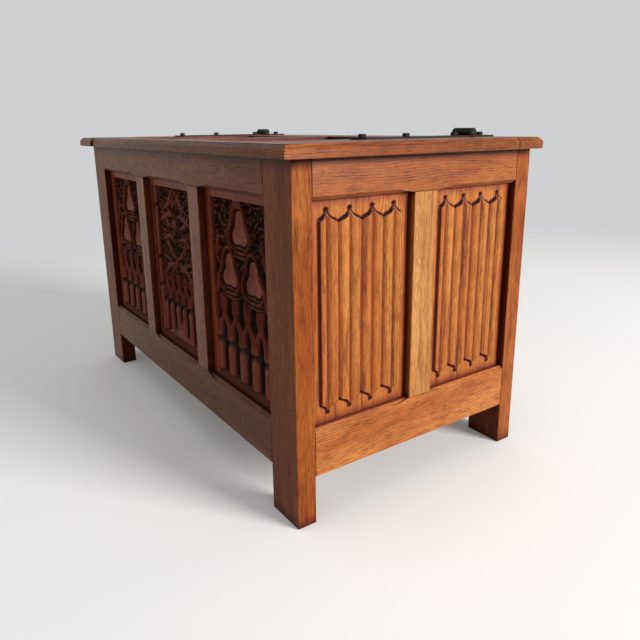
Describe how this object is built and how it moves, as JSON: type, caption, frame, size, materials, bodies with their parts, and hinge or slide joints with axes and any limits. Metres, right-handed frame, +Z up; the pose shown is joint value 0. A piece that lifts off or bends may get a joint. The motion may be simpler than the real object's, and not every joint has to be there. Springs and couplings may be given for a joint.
{
  "type": "coffer chest",
  "caption": "Joined oak coffer chest: carved front, linenfold ends, posts as legs, panelled lid on iron strap hinges.",
  "frame": {"origin": "on the floor, in the middle of the chest's outline", "axes": "+X along the chest to its right end, +Y to its back, +Z up"},
  "size_m": [1.015, 0.541, 0.6174],
  "materials": {
    "oak_frame": "stained and varnished oak",
    "oak_panel": "stained and varnished oak, carved",
    "oak_lid": "stained and polished oak",
    "iron": "black wrought iron"
  },
  "bodies": {
    "case": {"back_bearer": "oak_frame", "back_bottom_rail": "oak_frame", "back_left_post": "oak_frame", "back_muntin_1": "oak_frame", "back_muntin_2": "oak_frame", "back_panel_1": "oak_panel", "back_panel_2": "oak_panel", "back_panel_3": "oak_panel", "back_right_post": "oak_frame", "back_top_rail": "oak_frame", "bearer_screws": "iron", "bottom_board_1": "oak_panel", "bottom_board_2": "oak_panel", "bottom_board_3": "oak_panel", "bottom_board_4": "oak_panel", "bottom_board_5": "oak_panel", "bottom_board_6": "oak_panel", "bottom_board_7": "oak_panel", "fixed_back_strip": "oak_lid", "front_bearer": "oak_frame", "front_bottom_rail": "oak_frame", "front_left_post": "oak_frame", "front_muntin_1": "oak_frame", "front_muntin_2": "oak_frame", "front_panel_1": "oak_panel", "front_panel_2": "oak_panel", "front_panel_3": "oak_panel", "front_right_post": "oak_frame", "front_top_rail": "oak_frame", "left_bottom_rail": "oak_frame", "left_hinge_pin": "iron", "left_hinge_rear_leaf": "iron", "left_muntin_1": "oak_frame", "left_panel_1": "oak_panel", "left_panel_2": "oak_panel", "left_top_rail": "oak_frame", "right_bottom_rail": "oak_frame", "right_hinge_pin": "iron", "right_hinge_rear_leaf": "iron", "right_muntin_1": "oak_frame", "right_panel_1": "oak_panel", "right_panel_2": "oak_panel", "right_top_rail": "oak_frame", "strip_dowels": "oak_frame", "strip_hinge_bolts": "iron"},
    "lid": {"left_hinge_strap": "iron", "lid_back_rail": "oak_lid", "lid_front_rail": "oak_lid", "lid_hinge_bolts": "iron", "lid_left_cleat": "oak_lid", "lid_left_panel": "oak_lid", "lid_left_stile": "oak_lid", "lid_muntin": "oak_lid", "lid_right_cleat": "oak_lid", "lid_right_panel": "oak_lid", "lid_right_stile": "oak_lid", "right_hinge_strap": "iron"}
  },
  "joints": [
    {"name": "lid_hinge", "type": "hinge", "parent": "case", "child": "lid", "pos_m": [0, 0.206, 0.6094], "axis": [-1, 0, 0], "range_deg": [0, 105]}
  ]
}
